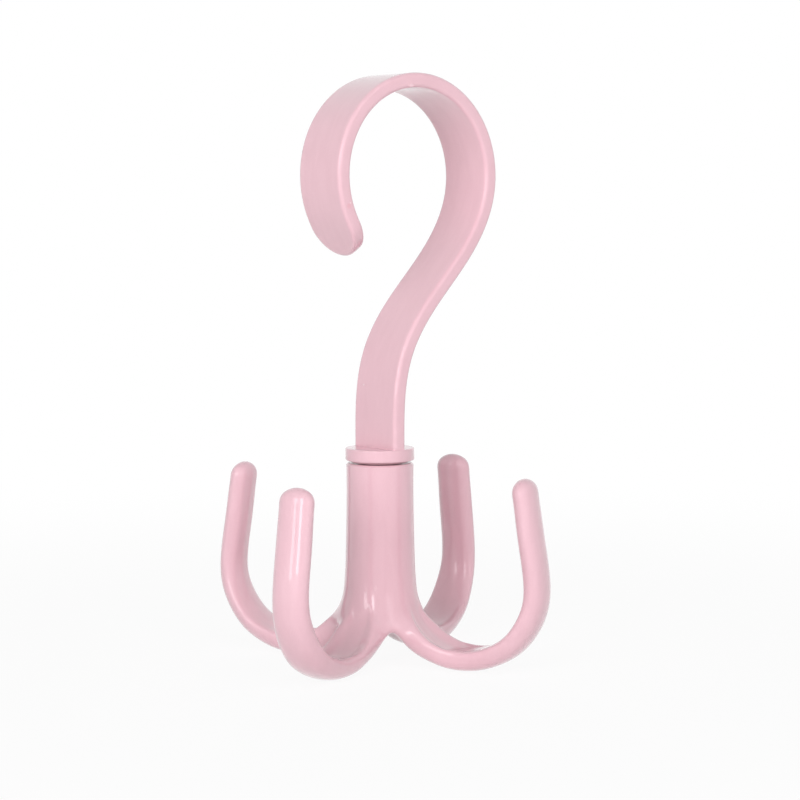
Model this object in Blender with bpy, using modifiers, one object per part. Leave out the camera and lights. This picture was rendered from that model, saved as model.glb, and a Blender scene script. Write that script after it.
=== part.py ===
"""Rotating closet hook: a flat strap hook that hangs on a rail, over a four-claw hub that turns.

The swivel axis is the Z axis and the claws stand on the plane z = 0. The strap curls in the X-Z plane.
The hub turns on a spigot under the strap's collar, held by a screw and a washer from below.
"""
import math

import bmesh
import bpy
import numpy as np
from mathutils import Matrix, Vector

# Strap of the hanging hook
STRAP_WIDTH = 0.0192
STRAP_THICKNESS = 0.0043
STRAP_EDGE_RADIUS = 0.0011
NECK_STRAIGHT = 0.0027
NECK_EASE = 0.0253
NECK_RADIUS = 0.0337
SHOULDER_EASE = 0.0570
LOOP_RADIUS = 0.0274
TIP_EASE = 0.0087
TIP_STRAIGHT = 0.0052
TIP_HEADING_DEGREES = 300.8
ROD_SEAT_LENGTH = 0.0040

# Collar, spigot and journal under the strap
COLLAR_RADIUS = 0.0101
COLLAR_THICKNESS = 0.0036
COLLAR_BEVEL = 0.0003
COLLAR_FOOT_RADIUS = 0.0090
SPIGOT_RADIUS = 0.0065
JOURNAL_RADIUS = 0.0030
PILOT_DEPTH = 0.0110

# Column of the hub
COLUMN_TOP_HEIGHT = 0.0591
COLUMN_RADIUS = 0.00985
COLUMN_RIM_BEVEL = 0.0005
CROTCH_HEIGHT = 0.0122
CROTCH_RADIUS = 0.0134
ARCH_HEIGHT = 0.0105
ARCH_RADIUS = 0.0092
BOSS_HEIGHT = 0.0089
BOSS_RADIUS = 0.0064
WEB_THICKNESS = 0.0030

# Claws of the hub
CLAW_COUNT = 4
CLAW_REST_DEGREES = 22.7
CLAW_WIDTH = 0.0110
CLAW_THICKNESS = 0.0064
CLAW_ROOT_REACH = 0.0088
CLAW_ROOT_DEGREES = 43.5
CLAW_ROOT_RADIUS = 0.0270
CLAW_BEND_START_DEGREES = 24.0
CLAW_BEND_RADIUS = 0.0213
CLAW_LEAN_DEGREES = 8.5
CLAW_STRAIGHT = 0.0290
CLAW_TIP_HEIGHT = 0.0041

# Screw and washer
SCREW_RADIUS = 0.0015
SCREW_LENGTH = 0.0100
SCREW_HEAD_RADIUS = 0.0028
SCREW_HEAD_HEIGHT = 0.0020
RECESS_WIDTH = 0.0007
RECESS_LENGTH = 0.0030
RECESS_DEPTH = 0.0009
WASHER_RADIUS = 0.0045
WASHER_THICKNESS = 0.0008

# Clearances
RUNNING_GAP = 0.0008
BEARING_CLEARANCE = 0.0003
SEAT_CLEARANCE = 0.0003
COUNTERBORE_CLEARANCE = 0.0005
CUT_OVERRUN = 0.0020
MERGE_DISTANCE = 0.00001

# Counts and fineness
TURN_STEPS = 48
SCREW_STEPS = 24
CORNER_STEPS = 3
NECK_STATIONS = 16
LOOP_RISE_STATIONS = 15
LOOP_FALL_STATIONS = 17
TIP_STATIONS = 6
LINE_SAMPLES = 2000
SMOOTH_LEVELS = 1
SHARP_DEGREES = 35.0
CAGE_PASSES = 12

# Rows of the column from its rim to the crotch. Each holds how far down it lies, as a share of that height,
# then the radius over a claw's middle, over its edge and in the valley between claws, as shares of the
# column's radius, then the angle of the edge as a share of half a claw's pitch.
COLUMN_ROW_SHARES = (
    (0.045, 1.000, 1.000, 1.000, 0.67),
    (0.250, 1.000, 1.000, 1.000, 0.67),
    (0.470, 1.020, 1.020, 1.020, 0.67),
    (0.640, 1.042, 1.042, 1.042, 0.64),
    (0.760, 1.078, 1.078, 1.074, 0.58),
    (0.860, 1.155, 1.160, 1.155, 0.50),
)

# Rows of a claw from the crotch to the foot of its tip. Each holds how far along the claw's middle line it
# lies, then the widths of its edge, flank and underside as shares of half the claw's width, and the heights
# of its crown, edge, flank, underside and keel over that line as shares of half its thickness.
CLAW_ROW_SHARES = (
    (0.000, 0.88, 0.00, 0.00, 1.66, 1.72, 0.00, -1.00, -1.00),
    (0.053, 1.08, 1.36, 0.92, 1.31, 1.52, 0.42, -0.52, -0.70),
    (0.113, 1.17, 1.30, 0.88, 0.99, 1.26, 0.31, -0.62, -0.86),
    (0.175, 1.18, 1.26, 0.86, 0.70, 1.07, 0.17, -0.68, -0.95),
    (0.215, 1.14, 1.23, 0.84, 0.76, 1.02, 0.12, -0.71, -0.98),
    (0.258, 1.12, 1.22, 0.83, 0.90, 0.94, 0.14, -0.72, -1.00),
    (0.320, 1.14, 1.21, 0.82, 0.93, 0.88, 0.14, -0.72, -1.00),
    (0.395, 1.12, 1.20, 0.80, 0.96, 0.86, 0.13, -0.72, -1.00),
    (0.470, 1.06, 1.15, 0.77, 0.99, 0.82, 0.12, -0.72, -1.00),
    (0.560, 0.92, 1.06, 0.74, 1.00, 0.78, 0.07, -0.73, -1.00),
    (0.660, 0.76, 1.00, 0.73, 1.00, 0.74, 0.00, -0.73, -1.00),
    (0.790, 0.73, 1.00, 0.73, 1.00, 0.73, 0.00, -0.73, -1.00),
    (0.880, 0.72, 0.98, 0.72, 0.99, 0.72, 0.00, -0.72, -0.99),
    (0.930, 0.71, 0.97, 0.71, 0.98, 0.71, 0.00, -0.71, -0.98),
)
# Between its crown and its edge a claw's top bends evenly, so halfway out it has gone this share of the way
HALFWAY_SHARE = 0.5
HALFWAY_RISE_SHARE = 0.25
TIP_ROWS = 4

# Places round a claw's ring of points, counted from its crown; minus marks the other side
FLANK = 3
UNDERSIDE = 4
KEEL = 5

# Cap of the boss and of the column's top, as shares of their own radii
BOSS_CAP_SHARE = 0.60
RIM_CAP_SHARE = 0.55

# Finishes
PLASTIC_COLOUR = (0.80, 0.52, 0.56, 1.0)
PLASTIC_ROUGHNESS = 0.30
STEEL_COLOUR = (0.62, 0.63, 0.65, 1.0)
STEEL_ROUGHNESS = 0.35


def clear_scene():
    for item in list(bpy.data.objects):
        bpy.data.objects.remove(item, do_unlink=True)


def new_collection(name):
    collection = bpy.data.collections.new(name)
    bpy.context.scene.collection.children.link(collection)
    return collection


def make_material(name, colour, roughness, metallic):
    material = bpy.data.materials.new(name)
    material.use_nodes = True
    shader = material.node_tree.nodes["Principled BSDF"]
    shader.inputs["Base Color"].default_value = colour
    shader.inputs["Roughness"].default_value = roughness
    shader.inputs["Metallic"].default_value = metallic
    return material


def object_from_bmesh(name, mesh_data, collection, material=None):
    """Makes an object from a bmesh, shaded smooth but for its sharp edges, and frees the bmesh."""
    mesh = bpy.data.meshes.new(name)
    mesh_data.to_mesh(mesh)
    mesh_data.free()
    mesh.shade_smooth()
    mesh.set_sharp_from_angle(angle=math.radians(SHARP_DEGREES))
    if material:
        mesh.materials.append(material)
    item = bpy.data.objects.new(name, mesh)
    collection.objects.link(item)
    return item


def turned(name, outline, collection, material=None, steps=TURN_STEPS):
    """Turns an outline of (radius, height) points, its outer side given from top to bottom, about the Z axis."""
    profile = bmesh.new()
    points = [profile.verts.new((radius, 0, height)) for radius, height in outline]
    for start, end in zip(points, points[1:]):
        profile.edges.new((start, end))
    bmesh.ops.remove_doubles(profile, verts=profile.verts, dist=MERGE_DISTANCE)
    item = object_from_bmesh(name, profile, collection, material)
    screw = item.modifiers.new("Turn", "SCREW")
    screw.steps = steps
    screw.render_steps = steps
    screw.use_merge_vertices = True
    screw.merge_threshold = MERGE_DISTANCE
    return item


def mark_helper(item):
    """Hides a cutter, or a solid that is joined into another piece."""
    item.hide_render = True
    item.display_type = "WIRE"
    return item


def add_boolean(item, helper, operation):
    boolean = item.modifiers.new(operation.title(), "BOOLEAN")
    boolean.operation = operation
    boolean.solver = "EXACT"
    boolean.object = mark_helper(helper)


def smooth_by_angle_group():
    """A modifier's node group that keeps an edge sharp where its faces meet at more than the sharp angle."""
    group = bpy.data.node_groups.new("Smooth by angle", "GeometryNodeTree")
    group.interface.new_socket("Geometry", in_out="INPUT", socket_type="NodeSocketGeometry")
    group.interface.new_socket("Geometry", in_out="OUTPUT", socket_type="NodeSocketGeometry")
    given = group.nodes.new("NodeGroupInput")
    result = group.nodes.new("NodeGroupOutput")
    edge_angle = group.nodes.new("GeometryNodeInputMeshEdgeAngle")
    gentle = group.nodes.new("FunctionNodeCompare")
    gentle.operation = "LESS_THAN"
    gentle.inputs["B"].default_value = math.radians(SHARP_DEGREES)
    shade = group.nodes.new("GeometryNodeSetShadeSmooth")
    shade.domain = "EDGE"
    group.links.new(edge_angle.outputs["Unsigned Angle"], gentle.inputs["A"])
    group.links.new(gentle.outputs["Result"], shade.inputs["Shade Smooth"])
    group.links.new(given.outputs["Geometry"], shade.inputs["Geometry"])
    group.links.new(shade.outputs["Geometry"], result.inputs["Geometry"])
    return group


class BentLine:
    """A flat line whose bend changes evenly between stations, sampled finely enough to read off points."""

    def __init__(self, start, heading, stations, bends, length):
        self.distances = np.linspace(0, length, LINE_SAMPLES)
        step = self.distances[1]
        bend = np.interp(self.distances, stations, bends)
        turn = np.cumsum((bend[1:] + bend[:-1]) / 2) * step
        self.headings = heading + np.concatenate([[0], turn])
        middle = (self.headings[1:] + self.headings[:-1]) / 2
        self.across = start[0] + np.concatenate([[0], np.cumsum(np.cos(middle))]) * step
        self.up = start[1] + np.concatenate([[0], np.cumsum(np.sin(middle))]) * step
        self.length = length

    def at(self, distance, rise=0):
        """The point at a distance along the line and at a rise over it, to the left of its heading."""
        heading = np.interp(distance, self.distances, self.headings)
        across = np.interp(distance, self.distances, self.across) - rise * math.sin(heading)
        up = np.interp(distance, self.distances, self.up) + rise * math.cos(heading)
        return across, up

    def distance_at_heading(self, heading):
        """The last distance at which the line has this heading."""
        return self.distances[np.nonzero(self.headings <= heading)[0][-1]]


def collar_top_height():
    return COLUMN_TOP_HEIGHT + RUNNING_GAP + COLLAR_THICKNESS


def web_underside_height():
    counterbore = (
        SEAT_CLEARANCE + WASHER_THICKNESS + SEAT_CLEARANCE + SCREW_HEAD_HEIGHT + COUNTERBORE_CLEARANCE
    )
    return BOSS_HEIGHT + counterbore


def strap_line():
    """The strap's middle line: up out of the collar, right, left round the loop, and straight to its tip."""
    embedded = COLLAR_THICKNESS / 2
    bend_start = embedded + NECK_STRAIGHT
    neck = bend_start + NECK_EASE
    loop_start = neck + SHOULDER_EASE
    neck_turn = -NECK_EASE / NECK_RADIUS / 2
    shoulder_turn = SHOULDER_EASE * (1 / LOOP_RADIUS - 1 / NECK_RADIUS) / 2
    tip_turn = TIP_EASE / LOOP_RADIUS / 2
    upright = math.radians(90)
    loop_turn = math.radians(TIP_HEADING_DEGREES) - upright - neck_turn - shoulder_turn - tip_turn
    loop_end = loop_start + loop_turn * LOOP_RADIUS
    tip_start = loop_end + TIP_EASE
    length = tip_start + TIP_STRAIGHT
    stations = (0, bend_start, neck, loop_start, loop_end, tip_start, length)
    bends = (0, 0, -1 / NECK_RADIUS, 1 / LOOP_RADIUS, 1 / LOOP_RADIUS, 0, 0)
    start = (0, collar_top_height() - embedded)
    return BentLine(start, upright, stations, bends, length)


def strap_section():
    """Half of the strap's rounded section, as (inset from its side, height) from top to bottom."""
    half = STRAP_THICKNESS / 2
    corner = [
        (1 - math.sin(turn), 1 - math.cos(turn))
        for turn in np.linspace(0, math.radians(90), CORNER_STEPS + 1)
    ]
    upper = [(inset * STRAP_EDGE_RADIUS, half - drop * STRAP_EDGE_RADIUS) for inset, drop in corner]
    lower = [(inset, -height) for inset, height in reversed(upper)]
    return upper + lower


def strap_stations(line):
    """Distances for the rings, with one level facet at the crown where the rod bears."""
    tip_radius = STRAP_WIDTH / 2
    crown = line.distance_at_heading(math.radians(180))
    seat_start = crown - ROD_SEAT_LENGTH / 2
    seat_end = crown + ROD_SEAT_LENGTH / 2
    rise_start = seat_start / 2
    neck = np.linspace(0, rise_start, NECK_STATIONS, endpoint=False)
    rise = np.linspace(rise_start, seat_start, LOOP_RISE_STATIONS)
    fall = np.linspace(seat_end, line.length - tip_radius, LOOP_FALL_STATIONS)
    return [*neck, *rise, *fall]


def strap_rings(line):
    """Rings of points round the strap. The last ones turn round its tip, which is a half circle."""
    section = strap_section()
    tip_radius = STRAP_WIDTH / 2
    stations = [(distance, 0) for distance in strap_stations(line)]
    turns = np.linspace(0, math.radians(90), TIP_STATIONS + 1)[1:]
    stations += [(line.length - tip_radius, turn) for turn in turns]
    for distance, turn in stations:
        ring = []
        for side in (1, -1):
            for inset, height in section[::side]:
                reach = tip_radius - inset
                across, up = line.at(distance + reach * math.sin(turn), height)
                ring.append(Vector((across, side * reach * math.cos(turn), up)))
        yield ring


def skin(mesh_data, rings):
    """Joins rings of as many points each into a closed skin, capped at both ends."""
    rows = [[mesh_data.verts.new(point) for point in ring] for ring in rings]
    for row, following in zip(rows, rows[1:]):
        for corner in range(len(row)):
            before = corner - 1
            mesh_data.faces.new((row[before], row[corner], following[corner], following[before]))
    mesh_data.faces.new(rows[0])
    mesh_data.faces.new(rows[-1])


def make_strap(collection, material):
    mesh_data = bmesh.new()
    skin(mesh_data, strap_rings(strap_line()))
    bmesh.ops.remove_doubles(mesh_data, verts=mesh_data.verts, dist=MERGE_DISTANCE)
    bmesh.ops.recalc_face_normals(mesh_data, faces=mesh_data.faces)
    return object_from_bmesh("hanging_hook", mesh_data, collection, material)


def make_spigot(cutters):
    """The collar and its foot, the spigot that the hub turns on, and the journal through the hub's web."""
    top = collar_top_height()
    bottom = top - COLLAR_THICKNESS
    foot = COLUMN_TOP_HEIGHT + BEARING_CLEARANCE
    shoulder = web_underside_height() + WEB_THICKNESS + BEARING_CLEARANCE
    outline = (
        (0, top),
        (COLLAR_RADIUS - COLLAR_BEVEL, top),
        (COLLAR_RADIUS, top - COLLAR_BEVEL),
        (COLLAR_RADIUS, bottom + COLLAR_BEVEL),
        (COLLAR_RADIUS - COLLAR_BEVEL, bottom),
        (COLLAR_FOOT_RADIUS, bottom),
        (COLLAR_FOOT_RADIUS, foot),
        (SPIGOT_RADIUS, foot),
        (SPIGOT_RADIUS, shoulder),
        (JOURNAL_RADIUS, shoulder),
        (JOURNAL_RADIUS, web_underside_height()),
        (0, web_underside_height()),
    )
    return turned("spigot_solid", outline, cutters)


def make_pilot_cutter(cutters):
    """The blind hole up the journal that takes the screw."""
    radius = SCREW_RADIUS + SEAT_CLEARANCE
    floor = web_underside_height()
    outline = (
        (0, floor + PILOT_DEPTH + radius),
        (radius, floor + PILOT_DEPTH),
        (radius, floor - CUT_OVERRUN),
        (0, floor - CUT_OVERRUN),
    )
    return turned("pilot_cutter", outline, cutters, steps=SCREW_STEPS)


def make_hanging_hook(collection, cutters, material):
    hook = make_strap(collection, material)
    add_boolean(hook, make_spigot(cutters), "UNION")
    add_boolean(hook, make_pilot_cutter(cutters), "DIFFERENCE")
    return hook


def claw_line():
    """A claw's middle line: down and out of the hub, flat across its bottom, up and out to its tip."""
    root = math.radians(CLAW_ROOT_DEGREES)
    bend_start = math.radians(CLAW_BEND_START_DEGREES)
    upright = math.radians(90 + CLAW_LEAN_DEGREES)
    lowest = CLAW_THICKNESS / 2
    start = (CLAW_ROOT_REACH, lowest + CLAW_ROOT_RADIUS * (1 - math.cos(root)))
    root_length = CLAW_ROOT_RADIUS * (root + bend_start)
    bend_length = CLAW_BEND_RADIUS * (upright - bend_start)
    blend = CLAW_THICKNESS / 2
    bend_end = root_length + bend_length
    stations = (
        0,
        root_length - blend,
        root_length + blend,
        bend_end - blend,
        bend_end + blend,
        bend_end + CLAW_STRAIGHT,
    )
    bends = (1 / CLAW_ROOT_RADIUS, 1 / CLAW_ROOT_RADIUS, 1 / CLAW_BEND_RADIUS, 1 / CLAW_BEND_RADIUS, 0, 0)
    return BentLine(start, -root, stations, bends, bend_end + CLAW_STRAIGHT)


def column_ring(row):
    """The points of one claw's share of a ring round the column, from one valley to the next."""
    depth, centre, edge, valley, edge_angle = row
    height = COLUMN_TOP_HEIGHT - depth * (COLUMN_TOP_HEIGHT - CROTCH_HEIGHT)
    halfway = centre + (edge - centre) * HALFWAY_SHARE
    half = ((centre, 0), (halfway, edge_angle * HALFWAY_SHARE), (edge, edge_angle), (valley, 1))
    polar = [(share, -turn) for share, turn in half[:0:-1]] + list(half)
    return ring_part([share * COLUMN_RADIUS for share, _ in polar], [turn for _, turn in polar], height)


def ring_part(radii, turns, height):
    """Points round the axis at one height, at turns given as shares of half a claw's pitch."""
    half_pitch = math.pi / CLAW_COUNT
    return [
        Vector((radius * math.cos(turn * half_pitch), radius * math.sin(turn * half_pitch), height))
        for radius, turn in zip(radii, turns)
    ]


def rim_rings():
    """Rings that close the column's top with a small round at its rim."""
    rings = (
        (COLUMN_RADIUS * RIM_CAP_SHARE, 0),
        (COLUMN_RADIUS - COLUMN_RIM_BEVEL * 3, 0),
        (COLUMN_RADIUS - COLUMN_RIM_BEVEL, 0),
        (COLUMN_RADIUS, COLUMN_RIM_BEVEL),
    )
    turns = np.linspace(-1, 1, 2 * FLANK + 1)
    for radius, drop in rings:
        yield ring_part([radius] * len(turns), turns, COLUMN_TOP_HEIGHT - drop)


def claw_ring(line, row, distance=None, taper=1):
    """The points round a claw at one row: its crown, then round by one flank and its underside."""
    along, edge_width, flank_width, under_width, crown, edge, flank, under, keel = row
    distance = along * line.length if distance is None else distance
    halfway = (edge_width * HALFWAY_SHARE, crown + (edge - crown) * HALFWAY_RISE_SHARE)
    half = (halfway, (edge_width, edge), (flank_width, flank), (under_width, under))
    spots = [(0, crown), *half, (0, keel), *((-width, height) for width, height in reversed(half))]
    ring = []
    for width, height in spots:
        across, up = line.at(distance, height * taper * CLAW_THICKNESS / 2)
        ring.append(Vector((across, width * taper * CLAW_WIDTH / 2, up)))
    return ring


def tip_rings(line):
    """Rings that round off a claw's tip as an ellipse. The last one is its very point."""
    for step in range(TIP_ROWS + 1):
        turn = math.radians(90) * step / TIP_ROWS
        distance = line.length - CLAW_TIP_HEIGHT * (1 - math.sin(turn))
        taper = math.cos(turn) if step < TIP_ROWS else 0
        yield claw_ring(line, CLAW_ROW_SHARES[-1], distance, taper)


def first_claw_ring(line):
    """The ring at the crotch, whose flanks and lower edges are shared with the claws on either side."""
    ring = claw_ring(line, CLAW_ROW_SHARES[0])
    shared = {FLANK: (CROTCH_RADIUS, CROTCH_HEIGHT), UNDERSIDE: (ARCH_RADIUS, ARCH_HEIGHT)}
    for spot, (radius, height) in shared.items():
        ring[-spot], ring[spot] = ring_part([radius] * 2, (-1, 1), height)
    ring[KEEL] = Vector((BOSS_RADIUS, 0, BOSS_HEIGHT))
    return ring


def add_grid(mesh_data, rings, spots, turn):
    """Adds the faces between the chosen spots of each ring and the next, turned about the Z axis."""
    rows = [[mesh_data.verts.new(turn @ ring[spot]) for spot in spots] for ring in rings]
    for row, following in zip(rows, rows[1:]):
        for left in range(len(row) - 1):
            mesh_data.faces.new((row[left], row[left + 1], following[left + 1], following[left]))
    return rows


def hub_cage():
    """The hub's coarse cage: a column that splits into claws at the crotch, welded into one skin."""
    mesh_data = bmesh.new()
    line = claw_line()
    crotch = first_claw_ring(line)
    claw_rings = [crotch, *(claw_ring(line, row) for row in CLAW_ROW_SHARES[1:]), *tip_rings(line)]
    crotch_across = [crotch[spot] for spot in range(-FLANK, FLANK + 1)]
    column = [*rim_rings(), *(column_ring(row) for row in COLUMN_ROW_SHARES), crotch_across]
    boss = [crotch[spot] for spot in (UNDERSIDE, KEEL, -UNDERSIDE)]
    boss_cap = [Vector((point.x * BOSS_CAP_SHARE, point.y * BOSS_CAP_SHARE, point.z)) for point in boss]
    caps = {"top": [], "boss": []}
    for claw in range(CLAW_COUNT):
        turn = Matrix.Rotation(claw * math.tau / CLAW_COUNT, 3, "Z")
        top_row = add_grid(mesh_data, column, range(len(crotch_across)), turn)[0]
        add_grid(mesh_data, claw_rings, range(-FLANK, len(crotch) - FLANK + 1), turn)
        cap_row = add_grid(mesh_data, [boss, boss_cap], range(len(boss)), turn)[-1]
        caps["top"] += top_row[:-1]
        caps["boss"] += cap_row[:0:-1]
    mesh_data.faces.new(caps["top"])
    mesh_data.faces.new(sorted(caps["boss"], key=lambda vert: math.atan2(vert.co.y, vert.co.x)))
    bmesh.ops.remove_doubles(mesh_data, verts=mesh_data.verts, dist=MERGE_DISTANCE)
    bmesh.ops.recalc_face_normals(mesh_data, faces=mesh_data.faces)
    return mesh_data


def smooth_place(vert):
    """Where a cage's corner lands on the smooth surface that endless subdivision would give."""
    count = len(vert.link_edges)
    centres = {face: face.calc_center_median() for face in vert.link_faces}
    face_mean = sum(centres.values(), Vector()) / count
    others = [edge.other_vert(vert).co for edge in vert.link_edges]
    edge_mean = sum(((vert.co + other) / 2 for other in others), Vector()) / count
    corner = (face_mean + 2 * edge_mean + (count - 3) * vert.co) / count
    edge_sum = Vector()
    for edge, other in zip(vert.link_edges, others):
        edge_sum += (vert.co + other + sum((centres[face] for face in edge.link_faces), Vector())) / 4
    face_sum = sum(centres.values(), Vector())
    return (count * count * corner + 4 * edge_sum + face_sum) / (count * (count + 5))


def fit_cage(mesh_data):
    """Moves the cage outward until its smooth surface passes through the corners as first given."""
    wanted = {vert: vert.co.copy() for vert in mesh_data.verts}
    for _ in range(CAGE_PASSES):
        moves = {vert: place - smooth_place(vert) for vert, place in wanted.items()}
        for vert, move in moves.items():
            vert.co += move


def make_bore_cutter(cutters):
    """One turned cutter for the spigot's bore, the journal's hole and the counterbore under the web."""
    web_underside = web_underside_height()
    web_top = web_underside + WEB_THICKNESS
    bore = SPIGOT_RADIUS + BEARING_CLEARANCE
    hole = JOURNAL_RADIUS + BEARING_CLEARANCE
    counterbore = WASHER_RADIUS + COUNTERBORE_CLEARANCE
    outline = (
        (0, COLUMN_TOP_HEIGHT + CUT_OVERRUN),
        (bore, COLUMN_TOP_HEIGHT + CUT_OVERRUN),
        (bore, web_top),
        (hole, web_top),
        (hole, web_underside),
        (counterbore, web_underside),
        (counterbore, BOSS_HEIGHT - CUT_OVERRUN),
        (0, BOSS_HEIGHT - CUT_OVERRUN),
    )
    return turned("bore_cutter", outline, cutters)


def make_claw_hub(collection, cutters, material):
    mesh_data = hub_cage()
    fit_cage(mesh_data)
    hub = object_from_bmesh("claw_hub", mesh_data, collection, material)
    smooth = hub.modifiers.new("Smooth", "SUBSURF")
    smooth.levels = SMOOTH_LEVELS
    smooth.render_levels = SMOOTH_LEVELS
    add_boolean(hub, make_bore_cutter(cutters), "DIFFERENCE")
    return hub


def washer_top_height():
    return web_underside_height() - SEAT_CLEARANCE


def make_washer(collection, material):
    """A flat ring under the journal, whose outline ends at the corner that it starts from."""
    top = washer_top_height()
    bottom = top - WASHER_THICKNESS
    inner = SCREW_RADIUS + SEAT_CLEARANCE
    outline = (
        (inner, top),
        (WASHER_RADIUS, top),
        (WASHER_RADIUS, bottom),
        (inner, bottom),
        (inner, top),
    )
    return turned("retaining_washer", outline, collection, material)


def make_recess_cutter(cutters, head_bottom):
    """A cross for the driver, as one upright prism."""
    wide = RECESS_WIDTH / 2
    long = RECESS_LENGTH / 2
    corners = [Vector((long, -wide, 0)), Vector((long, wide, 0)), Vector((wide, wide, 0))]
    mesh_data = bmesh.new()
    rings = []
    for height in (head_bottom - RECESS_DEPTH, head_bottom + RECESS_DEPTH):
        ring = []
        for quarter in range(4):
            place = Matrix.Translation((0, 0, height)) @ Matrix.Rotation(quarter * math.tau / 4, 4, "Z")
            ring += [place @ corner for corner in corners]
        rings.append(ring)
    skin(mesh_data, rings)
    bmesh.ops.recalc_face_normals(mesh_data, faces=mesh_data.faces)
    return object_from_bmesh("recess_cutter", mesh_data, cutters)


def make_screw(collection, cutters, material):
    """A pan-headed screw that points up, its head under the washer."""
    head_top = washer_top_height() - WASHER_THICKNESS - SEAT_CLEARANCE
    head_bottom = head_top - SCREW_HEAD_HEIGHT
    tip = head_top + SCREW_LENGTH
    crown = SCREW_HEAD_HEIGHT / 4
    outline = (
        (0, tip),
        (SCREW_RADIUS, tip - SCREW_RADIUS),
        (SCREW_RADIUS, head_top),
        (SCREW_HEAD_RADIUS, head_top),
        (SCREW_HEAD_RADIUS, head_bottom + crown * 2),
        (SCREW_HEAD_RADIUS - crown, head_bottom + crown / 2),
        (SCREW_HEAD_RADIUS - crown * 2, head_bottom),
        (0, head_bottom),
    )
    screw = turned("retaining_screw", outline, collection, material, steps=SCREW_STEPS)
    add_boolean(screw, make_recess_cutter(cutters, head_bottom), "DIFFERENCE")
    return screw


def make_swivel(collection, hub):
    """An empty on the swivel axis carries the hub, turned to where the claws rest."""
    swivel = bpy.data.objects.new("swivel_axis", None)
    collection.objects.link(swivel)
    hub.parent = swivel
    swivel.rotation_euler.z = math.radians(CLAW_REST_DEGREES)


def main():
    clear_scene()
    parts = new_collection("rotating_closet_hook")
    cutters = new_collection("cutters")
    cutters.hide_render = True
    plastic = make_material("pink_plastic", PLASTIC_COLOUR, PLASTIC_ROUGHNESS, 0)
    steel = make_material("plated_steel", STEEL_COLOUR, STEEL_ROUGHNESS, 1)
    hook = make_hanging_hook(parts, cutters, plastic)
    hub = make_claw_hub(parts, cutters, plastic)
    washer = make_washer(parts, steel)
    screw = make_screw(parts, cutters, steel)
    make_swivel(parts, hub)
    shading = smooth_by_angle_group()
    for piece in (hook, hub, washer, screw):
        piece.modifiers.new("Smooth by angle", "NODES").node_group = shading


main()
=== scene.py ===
import math

import bmesh
import bpy
import numpy as np
from mathutils import Matrix, Vector


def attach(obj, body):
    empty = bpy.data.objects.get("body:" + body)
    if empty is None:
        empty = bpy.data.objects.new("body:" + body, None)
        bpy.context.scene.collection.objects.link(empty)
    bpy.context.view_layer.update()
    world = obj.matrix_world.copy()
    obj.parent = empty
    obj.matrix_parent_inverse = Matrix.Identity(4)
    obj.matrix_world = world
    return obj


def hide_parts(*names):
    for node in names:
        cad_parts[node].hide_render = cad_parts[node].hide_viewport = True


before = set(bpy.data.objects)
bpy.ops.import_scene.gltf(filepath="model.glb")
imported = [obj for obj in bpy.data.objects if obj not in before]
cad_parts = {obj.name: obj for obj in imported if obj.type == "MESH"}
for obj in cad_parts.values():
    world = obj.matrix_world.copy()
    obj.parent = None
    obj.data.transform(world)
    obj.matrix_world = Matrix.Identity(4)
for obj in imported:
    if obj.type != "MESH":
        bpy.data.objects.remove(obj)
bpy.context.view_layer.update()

print("frame:", ", ".join(sorted(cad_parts)))

quarterTurn = math.radians(90)
sharpAngle = math.radians(35)  # faces that meet at more than this keep a sharp edge
weldDistance = 0.00001  # corners closer than this become one
lineSamples = 2000  # places worked out along each bent line


class Wire:
    # a node's output that can stand in sums, where each sign adds a Math node
    def __init__(self, board, socket):
        self.board = board
        self.socket = socket

    def __add__(self, other):
        return self.board.math("ADD", self, other)

    def __radd__(self, other):
        return self.board.math("ADD", other, self)

    def __sub__(self, other):
        return self.board.math("SUBTRACT", self, other)

    def __rsub__(self, other):
        return self.board.math("SUBTRACT", other, self)

    def __mul__(self, other):
        return self.board.math("MULTIPLY", self, other)

    def __rmul__(self, other):
        return self.board.math("MULTIPLY", other, self)


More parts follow.
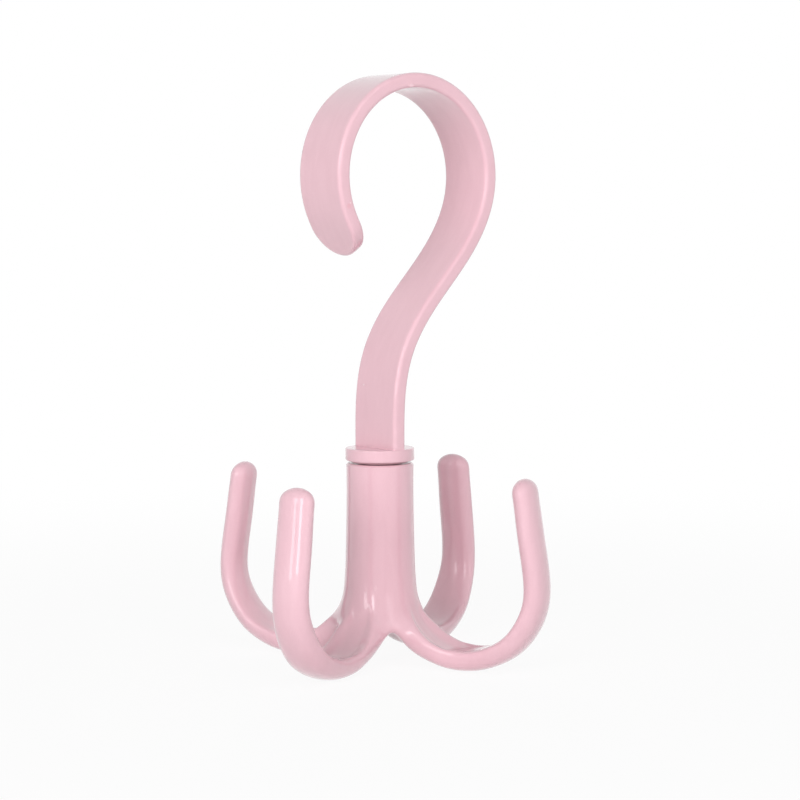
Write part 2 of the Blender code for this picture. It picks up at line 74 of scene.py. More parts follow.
class Board:
    # the nodes of one material or world
    def __init__(self, owner):
        owner.use_nodes = True
        self.tree = owner.node_tree
        self.tree.nodes.clear()

    def node(self, kind, settings=None, sockets=None):
        made = self.tree.nodes.new(kind)
        for name, value in (settings or {}).items():
            setattr(made, name, value)
        for name, value in (sockets or {}).items():
            if isinstance(value, Wire):
                self.tree.links.new(value.socket, made.inputs[name])
            else:
                made.inputs[name].default_value = value
        return made

    def wire(self, kind, settings=None, sockets=None, output=0):
        return Wire(self, self.node(kind, settings, sockets).outputs[output])

    def math(self, operation, *values, clamp=False):
        settings = {"operation": operation, "use_clamp": clamp}
        return self.wire("ShaderNodeMath", settings, dict(enumerate(values)))

    def mixColour(self, factor, first, second):
        sockets = {0: factor, 6: first, 7: second}
        return self.wire("ShaderNodeMix", {"data_type": "RGBA"}, sockets, output=2)

    def vector(self, operation, *values, output=0):
        settings = {"operation": operation}
        return self.wire("ShaderNodeVectorMath", settings, dict(enumerate(values)), output)

    def outward(self, place):
        # how far a place is from the swivel axis
        return self.vector("LENGTH", self.vector("MULTIPLY", place, (1, 1, 0)), output="Value")

    def noise(self, place, scale, detail=2.0, roughness=0.5, distortion=0.0):
        sockets = {
            "Vector": place,
            "Scale": scale,
            "Detail": detail,
            "Roughness": roughness,
            "Distortion": distortion,
        }
        return self.wire("ShaderNodeTexNoise", {"noise_dimensions": "3D"}, sockets)

    def band(self, value, low, high):
        # 0 before low, 1 past high, and a smooth change between them; low may be the greater
        sockets = {"Value": value, 1: low, 2: high, 3: 0.0, 4: 1.0}
        return self.wire("ShaderNodeMapRange", {"interpolation_type": "SMOOTHSTEP"}, sockets)

    def spot(self, place, centre, radius, softness):
        # 1 inside a ball round the centre, and 0 outside it
        distance = self.vector("DISTANCE", place, centre, output="Value")
        return 1 - self.band(distance, radius * (1 - softness), radius)

    def bump(self, height):
        # a normal from a height in metres
        return self.wire("ShaderNodeBump", None, {"Strength": 1.0, "Distance": 1.0, "Height": height})


def smoothMesh(name, meshData, sharpest=sharpAngle):
    mesh = bpy.data.meshes.new(name)
    meshData.to_mesh(mesh)
    meshData.free()
    mesh.shade_smooth()
    mesh.set_sharp_from_angle(angle=sharpest)
    item = bpy.data.objects.new(name, mesh)
    bpy.context.scene.collection.objects.link(item)
    return item


def cutMesh(item, helper, operation):
    # joins or cuts with an exact Boolean, and keeps the result as the item's own mesh
    boolean = item.modifiers.new("Join or cut", "BOOLEAN")
    boolean.operation = operation
    boolean.solver = "EXACT"
    boolean.object = helper
    keepResult(item)
    bpy.data.objects.remove(helper)


def keepResult(item):
    # the item's own mesh becomes what its modifiers make of it
    graph = bpy.context.evaluated_depsgraph_get()
    mesh = bpy.data.meshes.new_from_object(item.evaluated_get(graph))
    item.modifiers.clear()
    item.data = mesh
    mesh.name = item.name
    mesh.shade_smooth()
    mesh.set_sharp_from_angle(angle=sharpAngle)


def lathe(name, outline, steps):
    # a closed skin from (radius, height) corners turned about the swivel axis
    meshData = bmesh.new()
    turns = [math.tau * step / steps for step in range(steps)]
    rows = []
    for radius, height in outline:
        if radius == 0:
            rows.append([meshData.verts.new((0, 0, height))] * steps)
            continue
        places = [(radius * math.cos(turn), radius * math.sin(turn), height) for turn in turns]
        rows.append([meshData.verts.new(place) for place in places])
    for row, following in zip(rows, rows[1:]):
        for step in range(steps):
            after = (step + 1) % steps
            corners = (row[step], row[after], following[after], following[step])
            meshData.faces.new(list(dict.fromkeys(corners)))
    bmesh.ops.recalc_face_normals(meshData, faces=meshData.faces)
    return smoothMesh(name, meshData)


def roundedCorner(corner, before, after, radius, steps):
    # points of an arc that rounds off a right-angled corner between two neighbours
    corner, before, after = Vector(corner), Vector(before), Vector(after)
    inward = (before - corner).normalized() * radius
    outward = (after - corner).normalized() * radius
    centre = corner + inward + outward
    arc = []
    for step in range(steps + 1):
        turn = quarterTurn * step / steps
        arc.append(tuple(centre - outward * math.cos(turn) - inward * math.sin(turn)))
    return arc


class BentLine:
    # a flat line whose bend changes evenly between stations, as the part's source draws it
    def __init__(self, start, heading, stations, bends, length):
        self.length = length
        self.distances = np.linspace(0, length, lineSamples)
        step = self.distances[1]
        bend = np.interp(self.distances, stations, bends)
        turn = np.cumsum((bend[1:] + bend[:-1]) / 2) * step
        self.headings = heading + np.concatenate([[0], turn])
        middle = (self.headings[1:] + self.headings[:-1]) / 2
        self.across = start[0] + np.concatenate([[0], np.cumsum(np.cos(middle))]) * step
        self.up = start[1] + np.concatenate([[0], np.cumsum(np.sin(middle))]) * step

    def at(self, distance, rise):
        # a place that stands off the line, to its left, by the rise
        heading = np.interp(distance, self.distances, self.headings)
        across = np.interp(distance, self.distances, self.across) - rise * math.sin(heading)
        up = np.interp(distance, self.distances, self.up) + rise * math.cos(heading)
        return across, up


# the hanging hook: strap, collar, spigot and journal in one moulding; lengths in metres
hookSizes = {
    "width": 0.0192,
    "thickness": 0.0043,
    "edgeRadius": 0.0011,
    "supports": (3.0, 1.5),  # corners beside the rounded edges that keep the flats flat, in edge radii
    "neckStraight": 0.0027,
    "neckEase": 0.0253,
    "neckRadius": 0.0337,
    "shoulderEase": 0.0570,
    "loopRadius": 0.0274,
    "tipEase": 0.0087,
    "tipStraight": 0.0052,
    "tipHeadingDegrees": 300.8,
    "collarTop": 0.0635,
    "collarBottom": 0.0599,
    "collarRadius": 0.0101,
    "collarRound": 0.00035,
    "collarSupport": 0.0007,  # how far from the rims the flats' last corners stand
    "footRadius": 0.0085,
    "footBottom": 0.0594,
    "spigotRadius": 0.0065,
    "shoulderHeight": 0.0161,
    "journalRadius": 0.0030,
    "journalBottom": 0.0128,
    "pilotRadius": 0.0018,
    "pilotDepth": 0.0110,
    "stations": 260,
    "tipStations": 18,
    "cornerSteps": 6,
    "collarSteps": 4,
    "turnSteps": 128,
}


def strapLine(sizes):
    embedded = (sizes["collarTop"] - sizes["collarBottom"]) / 2
    bendStart = embedded + sizes["neckStraight"]
    neck = bendStart + sizes["neckEase"]
    loopStart = neck + sizes["shoulderEase"]
    neckBend = -1 / sizes["neckRadius"]
    loopBend = 1 / sizes["loopRadius"]
    turnBefore = sizes["neckEase"] * neckBend / 2 + sizes["shoulderEase"] * (loopBend + neckBend) / 2
    tipTurn = sizes["tipEase"] * loopBend / 2
    loopTurn = math.radians(sizes["tipHeadingDegrees"]) - quarterTurn - turnBefore - tipTurn
    loopEnd = loopStart + loopTurn * sizes["loopRadius"]
    tipStart = loopEnd + sizes["tipEase"]
    length = tipStart + sizes["tipStraight"]
    stations = (0, bendStart, neck, loopStart, loopEnd, tipStart, length)
    bends = (0, 0, neckBend, loopBend, loopBend, 0, 0)
    return BentLine((0, sizes["collarTop"] - embedded), quarterTurn, stations, bends, length)


def strapSection(sizes):
    # one side of the rounded section as (inset from its side, height), from one face to the other
    half = sizes["thickness"] / 2
    radius = sizes["edgeRadius"]
    far, near = (radius * share for share in sizes["supports"])
    upper = [(far, half), (near, half)]
    for step in range(sizes["cornerSteps"] + 1):
        turn = quarterTurn * step / sizes["cornerSteps"]
        upper.append((radius * (1 - math.sin(turn)), half - radius * (1 - math.cos(turn))))
    upper.append((0, half - near))
    return upper + [(inset, -height) for inset, height in reversed(upper)]


def strapRings(sizes):
    line = strapLine(sizes)
    section = strapSection(sizes)
    tipRadius = sizes["width"] / 2
    tipStart = line.length - tipRadius
    stations = [(distance, 0) for distance in np.linspace(0, tipStart, sizes["stations"])]
    # the tip is a half circle, drawn finer towards its end
    turns = np.linspace(0, quarterTurn, sizes["tipStations"] + 1)[1:]
    stations += [(tipStart, turn) for turn in turns]
    for distance, turn in stations:
        ring = []
        for side in (1, -1):
            for inset, height in section[::side]:
                reach = tipRadius - inset
                across, up = line.at(distance + reach * math.sin(turn), height)
                ring.append((across, side * reach * math.cos(turn), up))
        yield ring


def makeStrap(sizes):
    meshData = bmesh.new()
    rows = [[meshData.verts.new(point) for point in ring] for ring in strapRings(sizes)]
    for row, following in zip(rows, rows[1:]):
        for corner in range(len(row)):
            before = corner - 1
            meshData.faces.new((row[before], row[corner], following[corner], following[before]))
    meshData.faces.new(rows[0])
    meshData.faces.new(rows[-1])
    bmesh.ops.remove_doubles(meshData, verts=meshData.verts, dist=weldDistance)
    bmesh.ops.recalc_face_normals(meshData, faces=meshData.faces)
    return smoothMesh("pinkHook", meshData)


def collarOutline(sizes):
    radius, top, bottom = sizes["collarRadius"], sizes["collarTop"], sizes["collarBottom"]
    pilot, journal, spigot = sizes["pilotRadius"], sizes["journalRadius"], sizes["spigotRadius"]
    journalBottom, shoulder = sizes["journalBottom"], sizes["shoulderHeight"]
    pilotTop = journalBottom + sizes["pilotDepth"]
    edge, steps, lip = sizes["collarRound"], sizes["collarSteps"], sizes["collarSupport"]
    upper = roundedCorner((radius, top), (radius - lip, top), (radius, top - lip), edge, steps)
    lower = roundedCorner((radius, bottom), (radius, bottom + lip), (radius - lip, bottom), edge, steps)
    return [
        (0, top),
        (radius - lip, top),
        *upper,
        (radius, top - lip),
        (radius, bottom + lip),
        *lower,
        (radius - lip, bottom),
        (sizes["footRadius"], bottom),
        (sizes["footRadius"], sizes["footBottom"]),
        (spigot, sizes["footBottom"]),
        (spigot, shoulder),
        (journal, shoulder),
        (journal, journalBottom),
        (pilot, journalBottom),
        (pilot, pilotTop),
        (0, pilotTop + pilot),
    ]


# small raised marks that the mould left, each as its centre and its reach along X, Y and Z
hookNubs = {
    "gate": ((0.0044, -0.0096, 0.1685), (0.00115, 0.00020, 0.00040)),
    "pimple": ((-0.00145, 0.0056, 0.0817), (0.00012, 0.00034, 0.00034)),
}


def makeNub(centre, reach):
    meshData = bmesh.new()
    bmesh.ops.create_uvsphere(meshData, u_segments=32, v_segments=16, radius=1)
    meshData.transform(Matrix.Translation(centre) @ Matrix.Diagonal((*reach, 1)))
    return smoothMesh("nub", meshData)


def makeHook(sizes, nubs):
    hook = makeStrap(sizes)
    collar = lathe("collar", collarOutline(sizes), sizes["turnSteps"])
    cutMesh(hook, collar, "UNION")
    for centre, reach in nubs.values():
        cutMesh(hook, makeNub(centre, reach), "UNION")
    return hook


hook = makeHook(hookSizes, hookNubs)
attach(hook, "hook_body")
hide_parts("hanging_hook")
print("hook:", len(hook.data.polygons), "faces")

# the claw hub: a column that flares into four upturned claws; lengths in metres
hubSizes = {
    "clawCount": 4,
    "restDegrees": 22.7,
    "columnTop": 0.0591,
    "columnRadius": 0.00985,
    "rimRound": 0.0005,
    "rimSupport": 0.0015,  # how far inside the rim the flat top's last corners stand
    "topCapShare": 0.55,
    "crotchHeight": 0.0122,
    "crotchRadius": 0.0134,
    "archHeight": 0.0105,
    "archRadius": 0.0092,
    "bossHeight": 0.0089,
    "bossRadius": 0.0064,
    "bossCapShare": 0.60,
    "clawWidth": 0.0110,
    "clawThickness": 0.0064,
    "crownDrop": 0.25,  # how much of the drop from crown to edge comes in the first half
    "rootReach": 0.0088,
    "rootDegrees": 43.5,
    "rootRadius": 0.0270,
    "bendStartDegrees": 24.0,
    "bendRadius": 0.0213,
    "leanDegrees": 8.5,
    "straight": 0.0290,
    "tipHeight": 0.0041,
    "tipRows": 4,
    "boreRadius": 0.0068,
    "boreFloor": 0.0158,
    "holeRadius": 0.0033,
    "webUnderside": 0.0128,
    "counterboreRadius": 0.0050,
    "cutterOverrun": 0.0020,
    "fitPasses": 12,
    "smoothLevels": 3,
    "boreSteps": 128,
}

# down the column, as shares of its height and radius: depth, radius over a claw's middle, over its
# edge and in the valley, then the edge's angle as a share of half the space between two claws
columnRows = (
    (0.045, 1.000, 1.000, 1.000, 0.67),
    (0.250, 1.000, 1.000, 1.000, 0.67),
    (0.470, 1.020, 1.020, 1.020, 0.67),
    (0.640, 1.042, 1.042, 1.042, 0.64),
    (0.760, 1.078, 1.078, 1.074, 0.58),
    (0.860, 1.155, 1.160, 1.155, 0.50),
)

# along a claw, as shares of its length and half sizes: distance, widths of edge, flank and underside,
# then heights of crown, edge, flank, underside and keel
clawRows = (
    (0.000, 0.88, 0.00, 0.00, 1.66, 1.72, 0.00, -1.00, -1.00),
    (0.053, 1.08, 1.36, 0.92, 1.31, 1.52, 0.42, -0.52, -0.70),
    (0.113, 1.17, 1.30, 0.88, 0.99, 1.26, 0.31, -0.62, -0.86),
    (0.175, 1.18, 1.26, 0.86, 0.70, 1.07, 0.17, -0.68, -0.95),
    (0.215, 1.14, 1.23, 0.84, 0.76, 1.02, 0.12, -0.71, -0.98),
    (0.258, 1.12, 1.22, 0.83, 0.90, 0.94, 0.14, -0.72, -1.00),
    (0.320, 1.14, 1.21, 0.82, 0.94, 0.84, 0.14, -0.72, -1.00),
    (0.395, 1.12, 1.20, 0.80, 0.99, 0.75, 0.13, -0.72, -1.00),
    (0.470, 1.06, 1.15, 0.77, 1.03, 0.68, 0.11, -0.72, -1.00),
    (0.560, 0.92, 1.06, 0.74, 1.03, 0.67, 0.06, -0.73, -1.00),
    (0.660, 0.76, 1.00, 0.73, 1.01, 0.71, 0.00, -0.73, -1.00),
    (0.790, 0.73, 1.00, 0.73, 1.00, 0.73, 0.00, -0.73, -1.00),
    (0.880, 0.72, 0.98, 0.72, 0.99, 0.72, 0.00, -0.72, -0.99),
    (0.930, 0.71, 0.97, 0.71, 0.98, 0.71, 0.00, -0.71, -0.98),
)

# places round a claw's ring, counted from its crown
flankSpot, undersideSpot, keelSpot = 3, 4, 5


def clawLine(sizes):
    root = math.radians(sizes["rootDegrees"])
    bendStart = math.radians(sizes["bendStartDegrees"])
    upright = quarterTurn + math.radians(sizes["leanDegrees"])
    rootRadius, bendRadius = sizes["rootRadius"], sizes["bendRadius"]
    half = sizes["clawThickness"] / 2  # the bend changes over this much before and after a station
    start = (sizes["rootReach"], half + rootRadius * (1 - math.cos(root)))
    rootLength = rootRadius * (root + bendStart)
    bendEnd = rootLength + bendRadius * (upright - bendStart)
    length = bendEnd + sizes["straight"]
    stations = (0, rootLength - half, rootLength + half, bendEnd - half, bendEnd + half, length)
    rootBend, tipBend = 1 / rootRadius, 1 / bendRadius
    bends = (rootBend, rootBend, tipBend, tipBend, 0, 0)
    return BentLine(start, -root, stations, bends, length)


def ringPart(radii, turns, height):
    # level corners round the axis; a turn of 1 is half the space between two claws
    halfPitch = math.pi / hubSizes["clawCount"]
    return [
        Vector((radius * math.cos(turn * halfPitch), radius * math.sin(turn * halfPitch), height))
        for radius, turn in zip(radii, turns)
    ]


def columnRing(row, sizes):
    depth, centre, edge, valley, edgeAngle = row
    height = sizes["columnTop"] - depth * (sizes["columnTop"] - sizes["crotchHeight"])
    half = [(centre, 0), ((centre + edge) / 2, edgeAngle / 2), (edge, edgeAngle), (valley, 1)]
    polar = [(share, -turn) for share, turn in half[:0:-1]] + half
    radii = [share * sizes["columnRadius"] for share, _ in polar]
    return ringPart(radii, [turn for _, turn in polar], height)


def rimRings(sizes):
    radius, rim = sizes["columnRadius"], sizes["rimRound"]
    turns = np.linspace(-1, 1, 2 * flankSpot + 1)
    capRadius, flatRadius = radius * sizes["topCapShare"], radius - sizes["rimSupport"]
    rings = ((capRadius, 0), (flatRadius, 0), (radius - rim, 0), (radius, rim))
    for ringRadius, drop in rings:
        yield ringPart([ringRadius] * len(turns), turns, sizes["columnTop"] - drop)


def clawRing(line, row, sizes, distance=None, taper=1):
    along, edgeWidth, flankWidth, underWidth, crown, edge, flank, under, keel = row
    distance = along * line.length if distance is None else distance
    halfway = (edgeWidth / 2, crown + (edge - crown) * sizes["crownDrop"])
    half = (halfway, (edgeWidth, edge), (flankWidth, flank), (underWidth, under))
    spots = [(0, crown), *half, (0, keel), *((-width, height) for width, height in reversed(half))]
    ring = []
    for width, height in spots:
        across, up = line.at(distance, height * taper * sizes["clawThickness"] / 2)
        ring.append(Vector((across, width * taper * sizes["clawWidth"] / 2, up)))
    return ring


def tipRings(line, sizes):
    for step in range(sizes["tipRows"] + 1):
        turn = quarterTurn * step / sizes["tipRows"]
        distance = line.length - sizes["tipHeight"] * (1 - math.sin(turn))
        taper = math.cos(turn) if step < sizes["tipRows"] else 0
        yield clawRing(line, clawRows[-1], sizes, distance, taper)


def crotchRing(line, sizes):
    # the ring where the column, two claws and the boss meet
    ring = clawRing(line, clawRows[0], sizes)
    shared = {
        flankSpot: (sizes["crotchRadius"], sizes["crotchHeight"]),
        undersideSpot: (sizes["archRadius"], sizes["archHeight"]),
    }
    for spot, (radius, height) in shared.items():
        ring[-spot], ring[spot] = ringPart([radius] * 2, (-1, 1), height)
    ring[keelSpot] = Vector((sizes["bossRadius"], 0, sizes["bossHeight"]))
    return ring


def addGrid(meshData, rings, spots, turn):
    # four-cornered faces between the same spots of one ring and the next
    rows = [[meshData.verts.new(turn @ ring[spot]) for spot in spots] for ring in rings]
    for row, following in zip(rows, rows[1:]):
        for left in range(len(row) - 1):
            meshData.faces.new((row[left], row[left + 1], following[left + 1], following[left]))
    return rows


def hubCage(sizes):
    meshData = bmesh.new()
    line = clawLine(sizes)
    crotch = crotchRing(line, sizes)
    claw = [crotch, *(clawRing(line, row, sizes) for row in clawRows[1:]), *tipRings(line, sizes)]
    crotchAcross = [crotch[spot] for spot in range(-flankSpot, flankSpot + 1)]
    column = [*rimRings(sizes), *(columnRing(row, sizes) for row in columnRows), crotchAcross]
    boss = [crotch[spot] for spot in (undersideSpot, keelSpot, -undersideSpot)]
    inward = sizes["bossCapShare"]
    bossCap = [Vector((corner.x * inward, corner.y * inward, corner.z)) for corner in boss]
    topCorners, bossCorners = [], []
    for number in range(sizes["clawCount"]):
        turn = Matrix.Rotation(number * math.tau / sizes["clawCount"], 3, "Z")
        topCorners += addGrid(meshData, column, range(len(crotchAcross)), turn)[0][:-1]
        addGrid(meshData, claw, range(-flankSpot, len(crotch) - flankSpot + 1), turn)
        bossCorners += addGrid(meshData, [boss, bossCap], range(len(boss)), turn)[-1][:0:-1]
    meshData.faces.new(topCorners)
    meshData.faces.new(sorted(bossCorners, key=lambda vert: math.atan2(vert.co.y, vert.co.x)))
    bmesh.ops.remove_doubles(meshData, verts=meshData.verts, dist=weldDistance)
    bmesh.ops.recalc_face_normals(meshData, faces=meshData.faces)
    return meshData


def smoothPlace(vert):
    # where a cage's corner lands once it is smoothed without end
    count = len(vert.link_edges)
    centres = {face: face.calc_center_median() for face in vert.link_faces}
    faceSum = sum(centres.values(), Vector())
    others = [edge.other_vert(vert).co for edge in vert.link_edges]
    edgeMean = sum(((vert.co + other) / 2 for other in others), Vector()) / count
    corner = (faceSum / count + 2 * edgeMean + (count - 3) * vert.co) / count
    edgeSum = Vector()
    for edge, other in zip(vert.link_edges, others):
        edgeSum += (vert.co + other + sum((centres[face] for face in edge.link_faces), Vector())) / 4
    return (count * count * corner + 4 * edgeSum + faceSum) / (count * (count + 5))


def fitCage(meshData, passes):
    # moves the cage's corners out until the smoothed skin passes through where they stood
    wanted = {vert: vert.co.copy() for vert in meshData.verts}
    for _ in range(passes):
        moves = {vert: place - smoothPlace(vert) for vert, place in wanted.items()}
        for vert, move in moves.items():
            vert.co += move


def makeHub(sizes):
    meshData = hubCage(sizes)
    fitCage(meshData, sizes["fitPasses"])
    meshData.transform(Matrix.Rotation(math.radians(sizes["restDegrees"]), 4, "Z"))
    hub = smoothMesh("pinkHub", meshData, sharpest=math.pi)
    smooth = hub.modifiers.new("Smooth", "SUBSURF")
    smooth.levels = smooth.render_levels = sizes["smoothLevels"]
    keepResult(hub)
    over = sizes["columnTop"] + sizes["cutterOverrun"]
    under = sizes["bossHeight"] - sizes["cutterOverrun"]
    outline = (
        (0, over),
        (sizes["boreRadius"], over),
        (sizes["boreRadius"], sizes["boreFloor"]),
        (sizes["holeRadius"], sizes["boreFloor"]),
        (sizes["holeRadius"], sizes["webUnderside"]),
        (sizes["counterboreRadius"], sizes["webUnderside"]),
        (sizes["counterboreRadius"], under),
        (0, under),
    )
    cutMesh(hub, lathe("bore", outline, sizes["boreSteps"]), "DIFFERENCE")
    return hub


hub = makeHub(hubSizes)
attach(hub, "hub_body")
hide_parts("claw_hub")
print("hub:", len(hub.data.polygons), "faces")

# the pink plastic; lengths in metres, scales in waves for each metre, and bands as the values of a
# noise between which an effect comes in
plasticLook = {
    "deepColour": (0.765, 0.465, 0.530, 1),
    "paleColour": (0.835, 0.535, 0.600, 1),
    "cloudScale": 34.0,
    "cloudShare": 1.1,
    "flowScale": 420.0,
    "flowDistortion": 0.6,
    "flowShare": 0.8,
    "mottleScale": 1900.0,
    "mottleShare": 0.5,
    # a painted highlight: rounded convex edges are made paler in the colour
    "edgeHighlightColour": (0.880, 0.600, 0.655, 1),
    "edgeHighlightShare": 0.35,
    "edgeHighlightBand": (0.52, 0.62),  # of pointiness, where 0.5 is flat
    "speckScale": 240.0,
    "speckBand": (0.84, 0.86),
    "speckRadius": 0.030,  # as a share of the space between two specks
    "speckCore": 0.5,  # the share of a speck's radius that keeps its full colour
    "speckColour": (0.560, 0.250, 0.300, 1),
    "speckShare": 0.45,
    # painted shade: the walls of the running gap under the collar are darkened in the colour
    "gapShadeColour": (0.380, 0.120, 0.150, 1),
    "gapShadeShare": 0.50,
    "gapShadeReach": 0.0007,
    "gapShadeFade": 0.00012,
    "roughness": 0.30,
    "smudgeScale": 75.0,
    "smudgeBand": (0.48, 0.66),
    "smudgeRoughness": 0.09,
    "grainRoughness": 0.08,
    "hairScale": 120.0,
    "hairWidth": 0.004,
    "hairRoughness": 0.14,
    "specular": 0.4,
    "coat": 1.0,
    "coatRoughness": 0.04,
    "peelScale": 520.0,
    "peelHeight": 0.0000035,
    "grainScale": 4200.0,
    "grainHeight": 0.0000008,
    "hairHeight": 0.0000015,
    "markSoftness": 0.7,  # the share of a mark's radius over which it fades
}
# flow lines run the way the plastic filled the mould, so their noise is stretched along X, Y or Z
flowStretch = {"hub": (1, 1, 0.16), "hook": (0.2, 1, 0.2)}
# hairline scratches lie in patches, here and on the steel
scratchPatches = {"repeat": 2.5, "band": (0.50, 0.60)}

# a mark in the moulding: where, how wide, its colour, how strongly it covers, how far it stands up
hookMarks = (
    ((-0.0184, -0.0096, 0.1341), 0.00110, (0.800, 0.360, 0.430, 1), 0.40, 0.0),
    ((-0.0179, -0.0096, 0.1350), 0.00035, (0.950, 0.760, 0.800, 1), 0.60, 0.00002),
    ((0.0044, -0.0096, 0.1685), 0.00095, (0.900, 0.640, 0.690, 1), 0.65, 0.0),
    ((-0.0014, 0.0056, 0.0817), 0.00045, (0.930, 0.740, 0.780, 1), 0.75, 0.00002),
)


def contourLines(board, value, width):
    # 1 along thin wandering lines, where a noise passes its middle
    away = board.math("ABSOLUTE", value - 0.5)
    return 1 - board.math("DIVIDE", away, width, clamp=True)


def scratches(board, place, stretch, look):
    wander = board.noise(board.vector("MULTIPLY", place, stretch), look["hairScale"])
    patches = board.noise(place, look["hairScale"] * scratchPatches["repeat"], detail=1.0)
    return contourLines(board, wander, look["hairWidth"]) * board.band(patches, *scratchPatches["band"])


def specks(board, place, look):
    settings = {"voronoi_dimensions": "3D", "feature": "F1"}
    sockets = {"Vector": place, "Scale": look["speckScale"]}
    cells = board.node("ShaderNodeTexVoronoi", settings, sockets)
    distance, shade = Wire(board, cells.outputs["Distance"]), Wire(board, cells.outputs["Color"])
    # only the few cells with a high number hold a speck
    number = board.wire("ShaderNodeSeparateColor", None, {"Color": shade})
    radius = look["speckRadius"]
    within = 1 - board.band(distance, radius * look["speckCore"], radius)
    return board.band(number, *look["speckBand"]) * within


def paintedGapShade(board, place, look):
    # 1 on the walls of the running gap under the collar, which are darkened as painted shade
    height = board.wire("ShaderNodeSeparateXYZ", None, {"Vector": place}, output="Z")
    middle = (hookSizes["collarBottom"] + hubSizes["columnTop"]) / 2
    reach = (hookSizes["collarBottom"] - hubSizes["columnTop"]) / 2
    rim = hubSizes["columnRadius"]
    deep = board.band(board.outward(place), rim, rim - look["gapShadeReach"])
    away = board.math("ABSOLUTE", height - middle)
    return deep * (1 - board.band(away, reach, reach + look["gapShadeFade"]))


def pinkPlastic(name, look, stretch, marks=()):
    material = bpy.data.materials.new(name)
    board = Board(material)
    place = board.wire("ShaderNodeTexCoord", output="Object")
    # noises run from 0 to 1, so half is taken off to leave the mean colour and height alone
    cloud = board.noise(place, look["cloudScale"], detail=3.0) - 0.5
    along = board.vector("MULTIPLY", place, stretch)
    flow = board.noise(along, look["flowScale"], detail=3.0, distortion=look["flowDistortion"]) - 0.5
    mottle = board.noise(place, look["mottleScale"]) - 0.5
    smudge = board.noise(place, look["smudgeScale"], detail=4.0, roughness=0.6)
    smudge = board.band(smudge, *look["smudgeBand"])
    grain = board.noise(place, look["grainScale"]) - 0.5
    peel = board.noise(place, look["peelScale"], detail=1.0) - 0.5
    hair = scratches(board, place, stretch, look)
    tone = 0.5 + cloud * look["cloudShare"] + flow * look["flowShare"] + mottle * look["mottleShare"]
    tone = board.math("ADD", tone, 0.0, clamp=True)
    colour = board.mixColour(tone, look["deepColour"], look["paleColour"])
    # painted highlight: paler colour on convex edges, found by pointiness
    edge = board.band(board.wire("ShaderNodeNewGeometry", output="Pointiness"), *look["edgeHighlightBand"])
    colour = board.mixColour(edge * look["edgeHighlightShare"], colour, look["edgeHighlightColour"])
    colour = board.mixColour(specks(board, place, look) * look["speckShare"], colour, look["speckColour"])
    # painted shade darkens the running gap under the collar
    colour = board.mixColour(paintedGapShade(board, place, look) * look["gapShadeShare"], colour, look["gapShadeColour"])
    height = peel * look["peelHeight"] + grain * look["grainHeight"] - hair * look["hairHeight"]
    for centre, radius, shade, cover, rise in marks:
        spot = board.spot(place, centre, radius, look["markSoftness"])
        colour = board.mixColour(spot * cover, colour, shade)
        if rise:
            height = height + spot * rise
    roughness = look["roughness"] + smudge * look["smudgeRoughness"] + grain * look["grainRoughness"]
    roughness = roughness + hair * look["hairRoughness"]
    shader = board.wire(
        "ShaderNodeBsdfPrincipled",
        None,
        {
            "Base Color": colour,
            "Roughness": roughness,
            "Specular IOR Level": look["specular"],
            "Coat Weight": look["coat"],
            "Coat Roughness": look["coatRoughness"],
            "Normal": board.bump(height),
        },
    )
    board.node("ShaderNodeOutputMaterial", None, {"Surface": shader})
    return material


def paint(item, material):
    item.data.materials.clear()
    item.data.materials.append(material)


paint(hub, pinkPlastic("hubPlastic", plasticLook, flowStretch["hub"]))
paint(hook, pinkPlastic("hookPlastic", plasticLook, flowStretch["hook"], hookMarks))
print("plastic: done")

# zinc plate on the washer and the screw, with the rings that turning left
steelLook = {
    "coolColour": (0.56, 0.60, 0.66, 1),
    "warmColour": (0.68, 0.66, 0.60, 1),
    "tintScale": 420.0,
    "tintBand": (0.35, 0.65),
    "tintDistortion": 0.5,
    "dullColour": (0.40, 0.40, 0.40, 1),
    "dullScale": 1400.0,
    "dullBand": (0.50, 0.68),
    "dullShare": 0.45,
    "ringScale": 9000.0,
    "roughness": 0.24,
    "ringRoughness": 0.14,
    "dullRoughness": 0.18,
    "hairScale": 700.0,
    "hairWidth": 0.010,
    "hairRoughness": 0.15,
    "ringHeight": 0.0000020,
    "hairHeight": 0.0000015,
}


def zincPlate(look):
    material = bpy.data.materials.new("zincPlate")
    board = Board(material)
    place = board.wire("ShaderNodeTexCoord", output="Object")
    sockets = {"W": board.outward(place), "Scale": look["ringScale"], "Detail": 2.0}
    rings = board.wire("ShaderNodeTexNoise", {"noise_dimensions": "1D"}, sockets) - 0.5
    tint = board.noise(place, look["tintScale"], distortion=look["tintDistortion"])
    tint = board.band(tint, *look["tintBand"])
    dull = board.band(board.noise(place, look["dullScale"], detail=3.0), *look["dullBand"])
    hair = scratches(board, place, (1, 1, 1), look)
    colour = board.mixColour(tint, look["coolColour"], look["warmColour"])
    colour = board.mixColour(dull * look["dullShare"], colour, look["dullColour"])
    roughness = look["roughness"] + rings * look["ringRoughness"] + dull * look["dullRoughness"]
    height = rings * look["ringHeight"] - hair * look["hairHeight"]
    shader = board.wire(
        "ShaderNodeBsdfPrincipled",
        None,
        {
            "Base Color": colour,
            "Metallic": 1.0,
            "Roughness": roughness + hair * look["hairRoughness"],
            "Normal": board.bump(height),
        },
    )
    board.node("ShaderNodeOutputMaterial", None, {"Surface": shader})
    return material


steel = zincPlate(steelLook)
for name in ("retaining_washer", "retaining_screw"):
    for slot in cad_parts[name].material_slots:
        slot.material = steel
print("steel: done")

# a pale floor that fades into the white backdrop
floorLook = {
    "size": 6.0,
    "colour": (0.88, 0.88, 0.88, 1),
    "nearShare": 0.93,  # how much of the floor near the object is plain backdrop white
    "fadeStart": 0.10,
    "fadeEnd": 0.45,
}
worldLook = {"colour": (1, 1, 1, 1), "strength": 0.16}


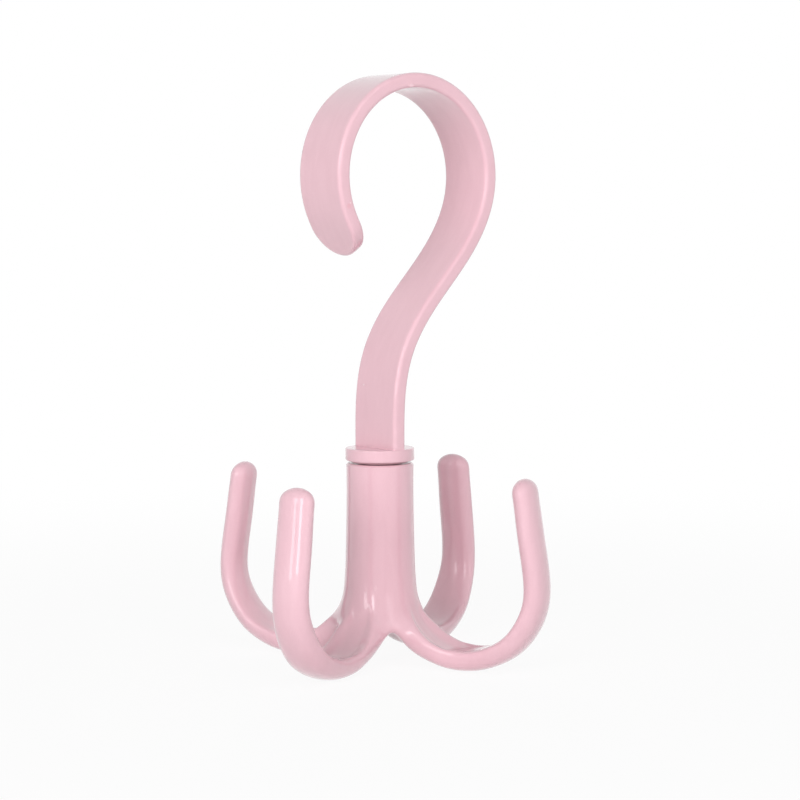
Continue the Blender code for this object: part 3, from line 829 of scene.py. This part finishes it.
def seenPlainly(board):
    # 1 for what the camera sees, straight or in gloss or through glass
    rays = board.node("ShaderNodeLightPath")
    seen = Wire(board, rays.outputs["Is Camera Ray"])
    for kind in ("Is Glossy Ray", "Is Transmission Ray"):
        seen = board.math("MAXIMUM", seen, Wire(board, rays.outputs[kind]))
    return seen


def makeFloor(look):
    meshData = bmesh.new()
    bmesh.ops.create_grid(meshData, x_segments=1, y_segments=1, size=look["size"])
    floor = smoothMesh("floor", meshData)
    material = bpy.data.materials.new("paleFloor")
    board = Board(material)
    pale = board.wire("ShaderNodeBsdfDiffuse", None, {"Color": look["colour"]})
    white = board.wire("ShaderNodeEmission", None, {"Color": (1, 1, 1, 1), "Strength": 1.0})
    distance = board.vector("LENGTH", board.wire("ShaderNodeTexCoord", output="Object"), output="Value")
    far = board.band(distance, look["fadeStart"], look["fadeEnd"])
    share = look["nearShare"] + far * (1 - look["nearShare"])
    mix = board.wire("ShaderNodeMixShader", None, {0: seenPlainly(board) * share, 1: pale, 2: white})
    board.node("ShaderNodeOutputMaterial", None, {"Surface": mix})
    paint(floor, material)


def makeWorld(look):
    # full white where it is seen, and weaker as light
    world = bpy.data.worlds.new("studio")
    bpy.context.scene.world = world
    board = Board(world)
    seen = seenPlainly(board)
    level = seen + (1 - seen) * look["strength"]
    shader = board.wire("ShaderNodeBackground", None, {"Color": look["colour"], "Strength": level})
    board.node("ShaderNodeOutputWorld", None, {"Surface": shader})


# the camera stands where the photograph was taken from; angles in degrees, lens and sensor in
# millimetres
cameraPlace = {
    "location": (-0.41083, -0.51871, 0.13591),
    "angles": (84.9361, 0.1306, -38.9312),
    "lens": 102.1,
    "sensor": 36.0,
    "frameWidth": 800,
    "shiftPixels": (-0.9, 0.5),
    "nearest": 0.01,
    "farthest": 20.0,
}


def makeCamera(place):
    lens = bpy.data.cameras.new("camera")
    lens.lens = place["lens"]
    lens.sensor_width = place["sensor"]
    lens.shift_x, lens.shift_y = (pixels / place["frameWidth"] for pixels in place["shiftPixels"])
    lens.clip_start, lens.clip_end = place["nearest"], place["farthest"]
    camera = bpy.data.objects.new("camera", lens)
    bpy.context.scene.collection.objects.link(camera)
    camera.location = place["location"]
    camera.rotation_euler = [math.radians(angle) for angle in place["angles"]]
    bpy.context.scene.camera = camera


# broad soft lamps for the body colour: azimuth and elevation in degrees, then watts
softLamps = (
    (142, 8, 6.3),
    (-68, 8, 5.2),
    (-8, 45, 1.55),
    (-38, 45, 1.95),
    (52, 8, 1.5),
    (-8, 8, 2.6),
    (22, 8, 0.8),
    (112, 8, 0.9),
    (-68, 45, 0.3),
)
# narrow lamps whose reflections show on the bends: azimuth, elevation, width, height, watts
stripLamps = (
    (-83.5, 15, 0.17, 0.52, 0.85),
    (-59, 19, 0.25, 0.62, 2.3),
    (-10.5, 14.5, 0.32, 0.42, 0.35),
)
lampPlace = {"distance": 1.2, "softSize": (0.6, 0.6), "aim": (0, 0, 0.08)}


def makeLamp(name, azimuth, elevation, width, height, watts):
    lamp = bpy.data.lights.new(name, "AREA")
    lamp.shape = "RECTANGLE"
    lamp.size, lamp.size_y = width, height
    lamp.energy = watts
    item = bpy.data.objects.new(name, lamp)
    bpy.context.scene.collection.objects.link(item)
    turn, rise = math.radians(azimuth), math.radians(elevation)
    level = math.cos(rise)
    back = Vector((math.sin(turn) * level, -math.cos(turn) * level, math.sin(rise)))
    item.location = Vector(lampPlace["aim"]) + back * lampPlace["distance"]
    item.rotation_euler = back.to_track_quat("Z", "Y").to_euler()
    return item


makeFloor(floorLook)
makeWorld(worldLook)
makeCamera(cameraPlace)
for azimuth, elevation, watts in softLamps:
    lamp = makeLamp("softLamp", azimuth, elevation, *lampPlace["softSize"], watts)
    lamp.visible_glossy = False
for strip in stripLamps:
    makeLamp("stripLamp", *strip)
bpy.context.scene.view_settings.view_transform = "Standard"
print("studio: done")
